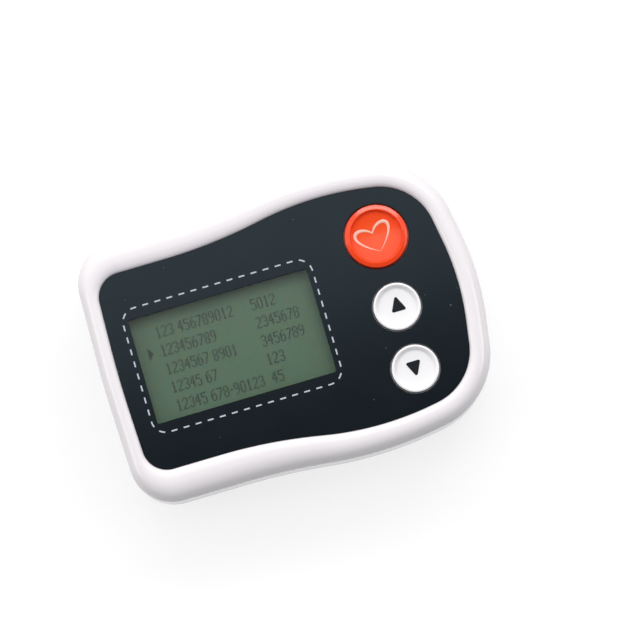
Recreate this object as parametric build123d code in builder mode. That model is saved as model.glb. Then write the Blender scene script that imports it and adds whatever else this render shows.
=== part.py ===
"""Pocket heart recorder: a bottle-shaped case with a display, three buttons and one AA cell.

Millimetres, lying on its back. +X runs from the lead socket to the buttons, +Y to the
event button's side, +Z out of the front panel. The origin is the centre of the back face.
"""
import os
from math import cos, radians, tan

from build123d import *

# Case
side_room = 5.85
parting_height = 11.0
wall = 2.0
back_round = 7.0
shoulder_drop = 1.5
shoulder_round = 3.2
crest_round = 2.5
lip_round = 0.3
seam_groove = 0.25
overrun = 5.0

# Front panel and the wall under it
panel_sink = 1.1
panel_thickness = 0.8
front_wall = 1.3
border_lead_end = 3.9
border_button_end = 4.8
border_side = 5.55
bond_gap = 0.05

# Display
window_length = 40.5
window_width = 23.4
window_round = 0.4
window_inset = 5.05
window_y = -0.2
gasket_wall = 0.65
gasket_cover = 0.15
glass_cover = 1.75
glass_thickness = 1.2
glass_drop = 0.4
guide_cover = 0.75
guide_inset = 0.4
strip_width = 1.6
strip_height = 0.7
strip_inset = 2.0
holder_wall = 1.4
holder_gap = 0.15

# Board
board_thickness = 1.0
board_edge_gap = 0.8

# Buttons
button_inset = 19.0
window_button_gap = 9.7
event_diameter = 13.7
arrow_diameter = 10.3
button_gap = 0.35
button_travel = 0.5
rim_sink = 0.3
rim_width = 0.75
rim_round = 0.3
dish_depth = 0.75
dish_slope = 0.9
flange_extra = 0.8
flange_thickness = 0.7
flange_gap = 0.1
nub_diameter = 2.4
dome_diameter = 5.0
dome_thickness = 0.15
dome_gap = 0.05
dome_pressed = 0.25
mark_depth = 0.25
heart_width = 7.4
heart_height = 6.3
heart_stroke = 0.5
arrow_size = 4.3
arrow_round = 0.45

# Cell, tray and contacts
cell_diameter = 14.5
cell_length = 50.5
cell_gap = 0.3
cell_nub_diameter = 5.5
cell_nub_length = 1.2
cell_base_diameter = 10.5
cell_base_length = 0.4
cell_edge_round = 0.3
tray_wall = 1.1
tray_roof = 0.6
tray_lift = 1.4
tray_gap = 0.3
contact_thickness = 0.3
contact_width = 7.0
contact_room = 0.9
tab_thickness = 1.4
tab_lift = 2.4
tray_screw_inset = 6.3
tray_screw_y = 11.0
ledge_length = 5.4
ledge_half_width = 7.0
ledge_thickness = 1.5
ledge_sink = 1.75
hook_height = 1.4
hook_overlap = 3.6
hook_gap = 0.1

# Battery cover
cover_length = 25.3
cover_gap = 0.15
tongue_width = 9.0
tongue_reach = 3.6
tongue_thickness = 0.8
tongue_y = 15.0
grip_count = 5
grip_pitch = 1.6
grip_width = 0.7
grip_length = 16.0
grip_depth = 0.4
grip_inset = 11.0

# Lead socket
socket_width = 38.0
socket_height = 8.8
socket_depth = 10.7
socket_sink = 0.6
socket_round = 1.6
socket_wall = 1.5
socket_back = 1.5
socket_gap = 0.15
socket_flange = 1.0
socket_flange_thickness = 1.1
socket_flange_gap = 0.8
pin_columns = 10
pin_pitch = 2.54
pin_size = 0.64
pin_reach = 3.8
pin_tail = 1.6

# Screws and bosses
case_screw_inset = 12.5
case_screw_side = 8.3
case_screw_radius = 1.0
case_screw_head_radius = 1.9
case_screw_head = 1.5
case_screw_bite = 6.0
case_boss_radius = 3.2
case_head_recess = 4.4
board_screw_radius = 0.8
board_screw_head_radius = 1.5
board_screw_head = 0.9
board_screw_bite = 1.6
board_boss_radius = 2.2
screw_gap = 0.05
screw_slot_share = 0.67
screw_slot_width = 0.5
screw_slot_depth = 0.6
hole_gap = 0.4

# Parts on the board
processor_size = (12.0, 12.0, 1.4)
signal_size = (9.0, 9.0, 1.4)
memory_size = (8.0, 10.0, 1.2)
crystal_size = (3.2, 7.0, 1.3)
inductor_size = (5.0, 5.0, 2.8)
capacitor_size = (1.6, 3.2, 1.5)
buzzer_radius = 4.5
buzzer_height = 3.5
buzzer_port_radius = 0.8
buzzer_port_depth = 1.2

# Button places down the panel, as shares of its half width
event_place_share = 0.548
up_place_share = -0.0795
down_place_share = -0.629

# Outline points from the lead end to the button end, upper half: shares of the half length
# and half width, then the share of the shorter side beside the point that its rounding takes
case_shares = [
    (-1.0035, 0.000, 0.1732),
    (-0.9860, 0.942, 0.3125),
    (-0.2235, 0.942, 0.4245),
    (0.2820, 1.027, 0.5588),
    (0.9106, 0.894, 0.4706),
    (1.0165, 0.000, 0.3557),
]
panel_shares = [
    (-1.0079, 0.000, 0.4077),
    (-0.9869, 0.867, 0.2350),
    (-0.2896, 0.867, 0.4389),
    (0.3447, 1.045, 0.5473),
    (0.9240, 0.900, 0.4002),
    (1.0210, 0.000, 0.4007),
]
outer_crest_share = 0.38
inner_crest_share = 0.28

# Right half of a plain heart: shares of its half width and height from its centre
heart_notch_share = 0.24
heart_lobe_shares = [(0.52, 0.50), (1.00, 0.14)]
heart_side_share = (0.68, -0.20)
heart_tip_share = -0.50

# Places of the parts under the board: shares of the way from the socket to the tray, and of
# the board's half width
processor_place_share = (0.34, 0.34)
signal_place_share = (0.22, -0.38)
memory_place_shares = [(0.66, 0.38), (0.66, -0.08)]
crystal_place_share = (0.47, -0.38)
inductor_place_share = (0.86, -0.52)
buzzer_place_share = (0.86, 0.62)
capacitor_place_shares = [
    (0.10, 0.12),
    (0.10, -0.07),
    (0.40, -0.64),
    (0.52, -0.64),
    (0.52, 0.74),
    (0.86, -0.22),
]

# The case is as long as the display and the buttons, as wide as the cell with its contacts, and
# as deep as what lies over the cell
half_length = (border_lead_end + window_inset + window_length + window_button_gap + event_diameter / 2
               + button_inset) / 2
half_width = cell_length / 2 + side_room
cell_z = wall + cell_gap + cell_diameter / 2
board_floor = cell_z + cell_diameter / 2 + cell_gap + tray_roof
board_top = board_floor + board_thickness
glass_floor = board_top + strip_height
glass_top = glass_floor + glass_thickness
ceiling = glass_top + glass_drop
panel_floor = ceiling + front_wall
panel_top = panel_floor + panel_thickness
crest_height = panel_top + panel_sink
shoulder_height = crest_height - shoulder_drop
button_rim_top = crest_height - rim_sink
mark_floor = button_rim_top - dish_depth - mark_depth

panel_x = (border_lead_end - border_button_end) / 2
panel_half_length = half_length - (border_lead_end + border_button_end) / 2
panel_half_width = half_width - border_side
window_x = border_lead_end + window_inset + window_length / 2 - half_length
glass_length = window_length + 2 * glass_cover
glass_width = window_width + 2 * glass_cover + strip_width
guide_length = window_length + 2 * guide_cover
guide_width = window_width - 2 * guide_inset
button_x = half_length - button_inset
event_y = event_place_share * panel_half_width
up_y = up_place_share * panel_half_width
down_y = down_place_share * panel_half_width
flange_top = ceiling - flange_gap
flange_floor = flange_top - flange_thickness
nub_floor = board_top + dome_pressed + button_travel

seam_x = half_length - cover_length
cell_x = seam_x + cover_gap + cell_diameter / 2
tray_low_x = cell_x - cell_diameter / 2 - cell_gap - tray_wall
tray_high_x = cell_x + cell_diameter / 2 + cell_gap + tray_wall
tray_floor = wall + tray_lift
tab_top = parting_height + tab_lift
ledge_top = parting_height - ledge_sink
ledge_end_x = tray_high_x + ledge_length
socket_front_x = -half_length + socket_sink
socket_back_x = socket_front_x + socket_depth
socket_z = parting_height


def outline(centre_x, half_long, half_wide, shares):
    """Corner points and radii of a closed outline that is alike on both sides of the X axis."""
    upper = [(Vector(centre_x + a * half_long, b * half_wide), c) for a, b, c in shares]
    corners = upper + [(Vector(point.X, -point.Y), share) for point, share in reversed(upper[1:-1])]
    rows = []
    for i, (point, share) in enumerate(corners):
        into = point - corners[i - 1][0]
        out = corners[(i + 1) % len(corners)][0] - point
        half_turn = radians(into.get_angle(out)) / 2
        rows.append((point, share * min(into.length, out.length) / tan(half_turn)))
    return rows


def inset(rows, amount):
    """The outline moved inwards by an amount, arcs kept concentric."""
    moved = []
    for i, (point, radius) in enumerate(rows):
        into = (point - rows[i - 1][0]).normalized()
        out = (rows[(i + 1) % len(rows)][0] - point).normalized()
        inward = Vector(into.Y, -into.X) + Vector(out.Y, -out.X)
        step = inward * (amount / (1 + into.dot(out)))
        outward_corner = into.cross(out).Z < 0
        moved.append((point + step, radius - amount if outward_corner else radius + amount))
    return moved


def between(first, second, share):
    """The outline a share of the way from the first outline to the second."""
    rows = []
    for (a, first_radius), (b, second_radius) in zip(first, second):
        rows.append((a + (b - a) * share, first_radius + (second_radius - first_radius) * share))
    return rows


def corner_arc(before, corner, after, radius):
    """Start, middle and end of the arc that rounds a corner."""
    into = (corner - before).normalized()
    out = (after - corner).normalized()
    half_turn = radians(into.get_angle(out)) / 2
    start = corner - into * (radius * tan(half_turn))
    end = corner + out * (radius * tan(half_turn))
    middle = corner + (out - into).normalized() * (radius * (1 / cos(half_turn) - 1))
    return start, middle, end


def flat(rows):
    """The flat face inside an outline."""
    arcs = []
    for i, (point, radius) in enumerate(rows):
        arcs.append(corner_arc(rows[i - 1][0], point, rows[(i + 1) % len(rows)][0], radius))
    with BuildSketch() as face:
        with BuildLine():
            for i, (start, middle, end) in enumerate(arcs):
                ThreePointArc(start, middle, end)
                Line(end, arcs[(i + 1) % len(arcs)][0])
        make_face()
    return face.sketch


def upright(x, y):
    """The XZ plane through a point, for profiles that are turned round a vertical axis."""
    return Plane(origin=(x, y, 0), x_dir=(1, 0, 0), z_dir=(0, -1, 0))


def finish(part, name):
    """Label a piece and write its file."""
    part.label = name
    export_step(part, f"parts/{name}.step")
    boxed = part.bounding_box()
    print(f"{name}: {len(part.solids())} solids, {boxed.size.X:.2f} x {boxed.size.Y:.2f} x {boxed.size.Z:.2f}")


case_rows = outline(0, half_length, half_width, case_shares)
panel_rows = outline(panel_x, panel_half_length, panel_half_width, panel_shares)
recess_rows = inset(panel_rows, -bond_gap)
inner_rows = inset(case_rows, wall)

button_rows = [
    (event_y, event_diameter / 2),
    (up_y, arrow_diameter / 2),
    (down_y, arrow_diameter / 2),
]


def both_sides(x, y):
    """A place and its mirror image across the X axis."""
    return [(x, y), (x, -y)]


case_screws = both_sides(case_screw_inset - half_length, half_width - case_screw_side)
tray_screws = both_sides(half_length - tray_screw_inset, tray_screw_y)
post_reach = case_boss_radius + hole_gap + 2 * board_boss_radius
board_screws = both_sides(
    tray_low_x - board_screw_head_radius - hole_gap,
    half_width - wall - board_edge_gap - board_boss_radius - hole_gap,
) + both_sides(case_screw_inset - half_length + post_reach, half_width - case_screw_side)


def front_shell_part():
    """White front shell: rounded bead round the panel recess, bosses under its wall."""
    with BuildPart() as shell:
        with BuildSketch(Plane.XY.offset(parting_height)):
            add(flat(case_rows))
        extrude(amount=shoulder_height - parting_height)
        chamfer(shell.faces().sort_by(Axis.Z)[0].edges(), seam_groove)
        with BuildSketch(Plane.XY.offset(shoulder_height)):
            add(flat(case_rows))
        with BuildSketch(Plane.XY.offset(crest_height)):
            add(flat(between(panel_rows, case_rows, outer_crest_share)))
        loft(ruled=True)
        fillet(shell.edges().filter_by_position(Axis.Z, shoulder_height, shoulder_height), shoulder_round)
        fillet(shell.faces().sort_by(Axis.Z)[-1].edges(), crest_round)
        with BuildSketch(Plane.XY.offset(parting_height)):
            add(flat(inner_rows))
        extrude(amount=ceiling - parting_height, mode=Mode.SUBTRACT)
        with BuildSketch(Plane.XY.offset(panel_floor)):
            add(flat(recess_rows))
        extrude(amount=panel_thickness, mode=Mode.SUBTRACT)
        with BuildSketch(Plane.XY.offset(panel_top)):
            add(flat(recess_rows))
        with BuildSketch(Plane.XY.offset(crest_height)):
            add(flat(between(panel_rows, case_rows, inner_crest_share)))
        loft(ruled=True, mode=Mode.SUBTRACT)
        fillet(shell.edges().filter_by_position(Axis.Z, crest_height, crest_height), lip_round)
        # Display opening and button holes
        with BuildSketch(Plane.XY.offset(ceiling - overrun / 2)):
            with Locations((window_x, window_y)):
                Rectangle(window_length + 2 * (gasket_cover + gasket_wall + bond_gap),
                          window_width + 2 * (gasket_cover + gasket_wall + bond_gap))
            for y, radius in button_rows:
                with Locations((button_x, y)):
                    Circle(radius + button_gap)
        extrude(amount=overrun, mode=Mode.SUBTRACT)
        # Socket notch through the end wall
        with BuildSketch(Plane.YZ.offset(-half_length - overrun)):
            with Locations((0, socket_z)):
                Rectangle(socket_width + 2 * socket_gap, socket_height + 2 * socket_gap)
        extrude(amount=overrun * 2, mode=Mode.SUBTRACT)
        # Bosses
        with BuildSketch(Plane.XY.offset(ceiling)):
            with Locations(*case_screws):
                Circle(case_boss_radius)
        extrude(amount=parting_height - ceiling)
        with BuildSketch(Plane.XY.offset(ceiling)):
            with Locations(*tray_screws):
                Circle(board_boss_radius + hole_gap)
        extrude(amount=tab_top - ceiling)
        with BuildSketch(Plane.XY.offset(ceiling)):
            with Locations(*board_screws):
                Circle(board_boss_radius)
        extrude(amount=board_top - ceiling)
        with BuildSketch(Plane.XY.offset(parting_height)):
            with Locations(*case_screws):
                Circle(case_screw_radius + screw_gap)
        extrude(amount=case_screw_bite + hole_gap, mode=Mode.SUBTRACT)
        with BuildSketch(Plane.XY.offset(tab_top)):
            with Locations(*tray_screws):
                Circle(case_screw_radius + screw_gap)
        extrude(amount=case_screw_bite + hole_gap, mode=Mode.SUBTRACT)
        with BuildSketch(Plane.XY.offset(board_top)):
            with Locations(*board_screws):
                Circle(board_screw_radius + screw_gap)
        extrude(amount=board_screw_bite + hole_gap, mode=Mode.SUBTRACT)
    return shell.part


def hollow_shape(gap):
    """The room inside the back half of the case, less a gap all round."""
    with BuildPart() as hollow:
        with BuildSketch(Plane.XY.offset(wall + gap)):
            add(flat(inset(case_rows, wall + gap)))
        extrude(amount=crest_height)
        fillet(hollow.faces().sort_by(Axis.Z)[0].edges(), back_round - wall - gap)
    return hollow.part


def back_shape(top, low_x, high_x):
    """The hollow back half of the case between two cross planes, up to a height."""
    with BuildPart() as back:
        with BuildSketch():
            add(flat(case_rows))
        extrude(amount=top)
        fillet(back.faces().sort_by(Axis.Z)[0].edges(), back_round)
        chamfer(back.faces().sort_by(Axis.Z)[-1].edges(), seam_groove)
        add(hollow_shape(0), mode=Mode.SUBTRACT)
        split(bisect_by=Plane.YZ.offset(low_x), keep=Keep.TOP)
        split(bisect_by=Plane.YZ.offset(high_x), keep=Keep.BOTTOM)
    return back.part


def rear_shell_part():
    """White rear shell at the lead end, with the two screw posts."""
    with BuildPart() as shell:
        add(back_shape(parting_height, -half_length - overrun, seam_x))
        with BuildSketch(Plane.YZ.offset(-half_length - overrun)):
            with Locations((0, socket_z)):
                Rectangle(socket_width + 2 * socket_gap, socket_height + 2 * socket_gap)
        extrude(amount=overrun * 2, mode=Mode.SUBTRACT)
        # Floor thinned at the seam for the cover's tongues
        with BuildSketch(Plane.XY.offset(wall - tongue_thickness - hook_gap)):
            with Locations(*both_sides(seam_x, tongue_y)):
                Rectangle(2 * tongue_reach, tongue_width + 2 * hook_gap)
        extrude(amount=overrun, mode=Mode.SUBTRACT)
        # Screw posts
        with BuildSketch(Plane.XY.offset(wall)):
            with Locations(*case_screws):
                Circle(case_boss_radius)
        extrude(amount=parting_height - wall)
        with BuildSketch():
            with Locations(*case_screws):
                Circle(case_screw_head_radius + hole_gap)
        extrude(amount=case_head_recess + case_screw_head, mode=Mode.SUBTRACT)
        with BuildSketch():
            with Locations(*case_screws):
                Circle(case_screw_radius + screw_gap)
        extrude(amount=parting_height, mode=Mode.SUBTRACT)
    return shell.part


def battery_cover_part():
    """The button end of the back, which slides off along +X."""
    hook_floor = ledge_top + hook_gap
    with BuildPart() as cover:
        add(back_shape(parting_height - cover_gap, seam_x + cover_gap, half_length + overrun))
        # Tongues that lie on the thinned edge of the rear shell's floor
        with BuildSketch(Plane.XY.offset(wall - tongue_thickness)):
            with Locations(*both_sides(seam_x + cover_gap, tongue_y)):
                Rectangle(2 * tongue_reach, tongue_width)
        extrude(amount=tongue_thickness)
        # Hook on the end wall, over the tray's ledge
        with BuildSketch(Plane.XY.offset(hook_floor)):
            with Locations((ledge_end_x - hook_overlap, 0)):
                Rectangle(half_length - wall / 2 - ledge_end_x + hook_overlap, 2 * ledge_half_width,
                          align=(Align.MIN, Align.CENTER))
        extrude(amount=hook_height)
        # Thumb grooves across the back
        with BuildSketch():
            with Locations((half_length - grip_inset, 0)):
                with GridLocations(grip_pitch, 0, grip_count, 1):
                    SlotOverall(grip_length, grip_width, rotation=90)
        extrude(amount=grip_depth, mode=Mode.SUBTRACT)
    return cover.part


def front_panel_part():
    """Black panel in the recess, open at the display and the three buttons."""
    with BuildPart() as panel:
        with BuildSketch(Plane.XY.offset(panel_floor)):
            add(flat(panel_rows))
            with Locations((window_x, window_y)):
                RectangleRounded(window_length, window_width, window_round, mode=Mode.SUBTRACT)
            for y, radius in button_rows:
                with Locations((button_x, y)):
                    Circle(radius + button_gap, mode=Mode.SUBTRACT)
        extrude(amount=panel_thickness)
    return panel.part


def display_window_part():
    """Clear sheet bonded into the panel's opening."""
    with BuildPart() as window:
        with BuildSketch(Plane.XY.offset(panel_floor)):
            with Locations((window_x, window_y)):
                RectangleRounded(window_length - 2 * bond_gap, window_width - 2 * bond_gap,
                                 window_round - bond_gap)
        extrude(amount=panel_thickness)
    return window.part


def display_gasket_part():
    """Black frame that lines the case wall between the panel and the glass."""
    inner_length = window_length + 2 * gasket_cover
    inner_width = window_width + 2 * gasket_cover
    with BuildPart() as gasket:
        with BuildSketch(Plane.XY.offset(glass_top)):
            with Locations((window_x, window_y)):
                Rectangle(inner_length + 2 * gasket_wall, inner_width + 2 * gasket_wall)
                Rectangle(inner_length, inner_width, mode=Mode.SUBTRACT)
        extrude(amount=panel_floor - glass_top)
    return gasket.part


def display_glass_part():
    """Liquid crystal glass."""
    with BuildPart() as glass:
        with BuildSketch(Plane.XY.offset(glass_floor)):
            with Locations((window_x, window_y)):
                Rectangle(glass_length, glass_width)
        extrude(amount=glass_thickness)
    return glass.part


def light_guide_part():
    """Diffusing plate under the glass."""
    with BuildPart() as guide:
        with BuildSketch(Plane.XY.offset(board_top)):
            with Locations((window_x, window_y)):
                Rectangle(guide_length, guide_width)
        extrude(amount=glass_floor - board_top)
    return guide.part


def contact_strips_part():
    """Two rubber strips that join the glass to the board."""
    strip_y = (guide_width + glass_width) / 4
    with BuildPart() as strips:
        with BuildSketch(Plane.XY.offset(board_top)):
            with Locations((window_x, window_y + strip_y), (window_x, window_y - strip_y)):
                Rectangle(glass_length - 2 * strip_inset, strip_width)
        extrude(amount=glass_floor - board_top)
    return strips.part


def display_holder_part():
    """Frame on the board that keeps the glass in place."""
    inner_length = glass_length + 2 * holder_gap
    inner_width = glass_width + 2 * holder_gap
    with BuildPart() as holder:
        with BuildSketch(Plane.XY.offset(board_top)):
            with Locations((window_x, window_y)):
                RectangleRounded(inner_length + 2 * holder_wall, inner_width + 2 * holder_wall, holder_wall)
                Rectangle(inner_length, inner_width, mode=Mode.SUBTRACT)
        extrude(amount=glass_top - board_top)
    return holder.part


def main_board_part():
    """Circuit board, cut round the case screws' posts."""
    with BuildPart() as board:
        with BuildSketch(Plane.XY.offset(board_floor)):
            add(flat(inset(case_rows, wall + board_edge_gap)))
            with Locations((tray_high_x, 0)):
                Rectangle(2 * half_length, 2 * half_width, align=(Align.MIN, Align.CENTER), mode=Mode.SUBTRACT)
            with Locations(*case_screws):
                Circle(case_boss_radius + hole_gap, mode=Mode.SUBTRACT)
            with Locations(*board_screws):
                Circle(board_screw_radius + screw_gap, mode=Mode.SUBTRACT)
        extrude(amount=board_thickness)
    return board.part


def button_cap_part(y, radius, mark):
    """Dished cap with a flange inside the case, a nub on the switch and a cut for its mark."""
    dish_floor = button_rim_top - dish_depth
    flange_radius = radius + button_gap + flange_extra
    nub_radius = nub_diameter / 2
    dish_radius = radius - rim_width
    with BuildPart() as cap:
        with BuildSketch(upright(button_x, y)):
            with BuildLine():
                Polyline(
                    (0, nub_floor),
                    (nub_radius, nub_floor),
                    (nub_radius, flange_floor),
                    (flange_radius, flange_floor),
                    (flange_radius, flange_top),
                    (radius, flange_top),
                    (radius, button_rim_top),
                    (dish_radius, button_rim_top),
                    (dish_radius - dish_slope, dish_floor),
                    (0, dish_floor),
                    close=True,
                )
            make_face()
        revolve(axis=Axis((button_x, y, 0), (0, 0, 1)))
        fillet(cap.edges().filter_by_position(Axis.Z, button_rim_top, button_rim_top), rim_round)
        add(mark, mode=Mode.SUBTRACT)
    return cap.part


def heart_face(width, height):
    """A plain heart of this size."""
    def spot(share, side):
        return (side * share[0] * width / 2, share[1] * height)

    notch = (0, heart_notch_share * height)
    tip = (0, heart_tip_share * height)
    with BuildSketch() as face:
        with BuildLine():
            for side in (1, -1):
                lobe_end = spot(heart_lobe_shares[1], side)
                ThreePointArc(notch, spot(heart_lobe_shares[0], side), lobe_end)
                ThreePointArc(lobe_end, spot(heart_side_share, side), tip)
        make_face()
    return face.sketch


def heart_mark_part():
    """Plain heart outline let into the event button."""
    with BuildPart() as heart:
        with BuildSketch(Plane((button_x, event_y, mark_floor))):
            add(heart_face(heart_width, heart_height))
            add(heart_face(heart_width - 2 * heart_stroke, heart_height - 2 * heart_stroke), mode=Mode.SUBTRACT)
        extrude(amount=mark_depth)
    return heart.part


def arrow_mark_part(y, turn):
    """Rounded triangle let into an arrow button."""
    with BuildPart() as arrow:
        with BuildSketch(Plane((button_x, y, mark_floor))) as sketch:
            RegularPolygon(arrow_size / 2, 3, rotation=turn)
            fillet(sketch.vertices(), arrow_round)
        extrude(amount=mark_depth)
    return arrow.part


def switch_dome_part(y):
    """Thin sprung dome on the board under a button."""
    top = nub_floor - dome_gap
    base = dome_diameter / 2
    crown = nub_diameter / 2
    with BuildPart() as dome:
        with BuildSketch(upright(button_x, y)):
            with BuildLine():
                Polyline(
                    (0, top),
                    (crown, top),
                    (base, board_top + dome_thickness),
                    (base, board_top),
                    (base - dome_thickness, board_top),
                    (crown - dome_thickness, top - dome_thickness),
                    (0, top - dome_thickness),
                    close=True,
                )
            make_face()
        revolve(axis=Axis((button_x, y, 0), (0, 0, 1)))
    return dome.part


def battery_tray_part():
    """Bay for the cell, screwed to the front shell at its far end."""
    room = cell_length / 2 + cell_gap
    tab_reach = board_boss_radius + hole_gap
    with BuildPart() as tray:
        with BuildSketch(Plane.XY.offset(tray_floor)):
            with Locations((tray_low_x, 0)):
                Rectangle(tray_high_x - tray_low_x, 2 * half_width, align=(Align.MIN, Align.CENTER))
        extrude(amount=board_floor - tray_floor)
        with BuildSketch(Plane.XY.offset(tab_top - tab_thickness)):
            with Locations((cell_x, 0)):
                Rectangle(half_length - tray_screw_inset - cell_x + tab_reach, 2 * (tray_screw_y + tab_reach),
                          align=(Align.MIN, Align.CENTER))
        extrude(amount=tab_thickness)
        with BuildSketch(Plane.XY.offset(ledge_top - ledge_thickness)):
            with Locations((ledge_end_x, 0)):
                Rectangle(ledge_length + tray_wall / 2, 2 * ledge_half_width, align=(Align.MAX, Align.CENTER))
        extrude(amount=ledge_thickness)
        add(hollow_shape(tray_gap), mode=Mode.INTERSECT)
        # Room for the cell: round above its axis, open below it
        with BuildSketch(Plane.XZ.offset(-room)):
            with Locations((cell_x, cell_z)):
                Circle(cell_diameter / 2 + cell_gap)
                Rectangle(cell_diameter + 2 * cell_gap, cell_z, align=(Align.CENTER, Align.MAX))
        extrude(amount=2 * room, mode=Mode.SUBTRACT)
        # Contact pockets with a slot up to the board
        with BuildSketch(Plane.XY.offset(tray_floor + tray_wall)):
            with Locations((cell_x, 0)):
                Rectangle(contact_width + 2 * bond_gap, 2 * (room + contact_room))
                Rectangle(contact_width + 2 * bond_gap, 2 * (room - bond_gap), mode=Mode.SUBTRACT)
        extrude(amount=board_floor, mode=Mode.SUBTRACT)
        with BuildSketch(Plane.XY.offset(tab_top - overrun)):
            with Locations(*tray_screws):
                Circle(case_screw_radius + screw_gap)
        extrude(amount=2 * overrun, mode=Mode.SUBTRACT)
    return tray.part


def battery_cell_part():
    """AA cell across the case, its plus end towards +Y."""
    can_length = cell_length - cell_nub_length - cell_base_length
    low_y = -cell_length / 2
    with BuildPart() as cell:
        with BuildSketch(Plane.XZ.offset(-low_y - cell_base_length)):
            with Locations((cell_x, cell_z)):
                Circle(cell_diameter / 2)
        extrude(amount=-can_length)
        fillet(cell.edges(), cell_edge_round)
        with BuildSketch(Plane.XZ.offset(-low_y)):
            with Locations((cell_x, cell_z)):
                Circle(cell_base_diameter / 2)
        extrude(amount=-cell_base_length)
        with BuildSketch(Plane.XZ.offset(low_y)):
            with Locations((cell_x, cell_z)):
                Circle(cell_nub_diameter / 2)
        extrude(amount=cell_nub_length)
    return cell.part


def plus_contact_part():
    """Flat plate at the cell's plus end, with a tail up to the board."""
    outer_y = cell_length / 2 + cell_gap + contact_room - bond_gap
    with BuildPart() as contact:
        with BuildSketch(Plane.XY.offset(tray_floor + tray_wall + bond_gap)):
            with Locations((cell_x, outer_y)):
                Rectangle(contact_width, contact_thickness, align=(Align.CENTER, Align.MAX))
        extrude(amount=board_floor - tray_floor - tray_wall - bond_gap)
        # Raised pad that meets the cell
        with BuildSketch(Plane.XZ.offset(-outer_y + contact_thickness)):
            with Locations((cell_x, cell_z)):
                Circle(cell_nub_diameter / 2)
        extrude(amount=outer_y - contact_thickness - cell_length / 2 - bond_gap)
    return contact.part


def minus_contact_part():
    """Bowed leaf at the cell's minus end, with a tail up to the board."""
    outer_y = -(cell_length / 2 + cell_gap + contact_room - bond_gap)
    low_z = tray_floor + tray_wall + bond_gap
    tip_y = -cell_length / 2 - bond_gap
    spread = cell_z - low_z - contact_thickness
    with BuildPart() as contact:
        with BuildSketch(Plane.YZ.offset(cell_x - contact_width / 2)):
            with BuildLine():
                Polyline(
                    (outer_y, board_floor),
                    (outer_y, cell_z + spread),
                    (tip_y - contact_thickness, cell_z),
                    (outer_y, cell_z - spread),
                    (outer_y, low_z),
                    (outer_y + contact_thickness, low_z),
                    (outer_y + contact_thickness, cell_z - spread),
                    (tip_y, cell_z),
                    (outer_y + contact_thickness, cell_z + spread),
                    (outer_y + contact_thickness, board_floor),
                    close=True,
                )
            make_face()
        extrude(amount=contact_width)
    return contact.part


def lead_socket_part():
    """Grey housing at the lead end: a long mouth, and a flange behind the case wall."""
    flange_x = wall + socket_flange_gap - half_length
    with BuildPart() as socket:
        with BuildSketch(Plane.YZ.offset(socket_front_x)):
            with Locations((0, socket_z)):
                RectangleRounded(socket_width, socket_height, socket_round)
        extrude(amount=socket_depth)
        with BuildSketch(Plane.YZ.offset(flange_x)):
            with Locations((0, socket_z)):
                RectangleRounded(socket_width + 2 * socket_flange, socket_height + 2 * socket_flange,
                                 socket_round)
        extrude(amount=socket_flange_thickness)
        with BuildSketch(Plane.YZ.offset(socket_front_x)):
            with Locations((0, socket_z)):
                RectangleRounded(socket_width - 2 * socket_wall, socket_height - 2 * socket_wall,
                                 socket_round / 2)
        extrude(amount=socket_depth - socket_back, mode=Mode.SUBTRACT)
        with BuildSketch(Plane.YZ.offset(socket_back_x - socket_back - overrun / 2)):
            with Locations((0, socket_z)):
                with GridLocations(pin_pitch, pin_pitch, pin_columns, 2):
                    Rectangle(pin_size, pin_size)
        extrude(amount=overrun, mode=Mode.SUBTRACT)
    return socket.part


def socket_pins_part():
    """Two rows of bent pins from the socket's mouth up to the board."""
    tip_x = socket_back_x - socket_back - pin_reach
    first_y = -(pin_columns - 1) / 2 * pin_pitch
    planes = [Plane.XZ.offset(first_y + column * pin_pitch - pin_size / 2) for column in range(pin_columns)]
    with BuildPart() as pins:
        for z, end_x in [(socket_z - pin_pitch / 2, socket_back_x + pin_tail + pin_pitch),
                         (socket_z + pin_pitch / 2, socket_back_x + pin_tail)]:
            with BuildSketch(*planes):
                with BuildLine():
                    Polyline(
                        (tip_x, z - pin_size / 2),
                        (end_x, z - pin_size / 2),
                        (end_x, board_floor),
                        (end_x - pin_size, board_floor),
                        (end_x - pin_size, z + pin_size / 2),
                        (tip_x, z + pin_size / 2),
                        close=True,
                    )
                make_face()
            extrude(amount=pin_size)
    return pins.part


def screws_part(places, head_floor, radius, head_radius, head_height, length):
    """Pan head screws that point up, cross slotted from below."""
    slot_length = 2 * head_radius * screw_slot_share
    with BuildPart() as screws:
        with BuildSketch(Plane.XY.offset(head_floor)):
            with Locations(*places):
                Circle(head_radius)
        extrude(amount=head_height)
        with BuildSketch(Plane.XY.offset(head_floor + head_height)):
            with Locations(*places):
                Circle(radius)
        extrude(amount=length)
        with BuildSketch(Plane.XY.offset(head_floor)):
            with Locations(*places):
                Rectangle(slot_length, screw_slot_width)
                Rectangle(screw_slot_width, slot_length)
        extrude(amount=screw_slot_depth, mode=Mode.SUBTRACT)
    return screws.part


def board_place(share):
    """A place under the board's display half, from its shares."""
    low_x = socket_back_x + pin_tail + pin_pitch
    return (low_x + share[0] * (tray_low_x - low_x), share[1] * (half_width - wall))


def chips_part(places, size):
    """Flat components under the board."""
    with BuildPart() as chips:
        with BuildSketch(Plane.XY.offset(board_floor - size[2])):
            with Locations(*[board_place(share) for share in places]):
                Rectangle(size[0], size[1])
        extrude(amount=size[2])
    return chips.part


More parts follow.
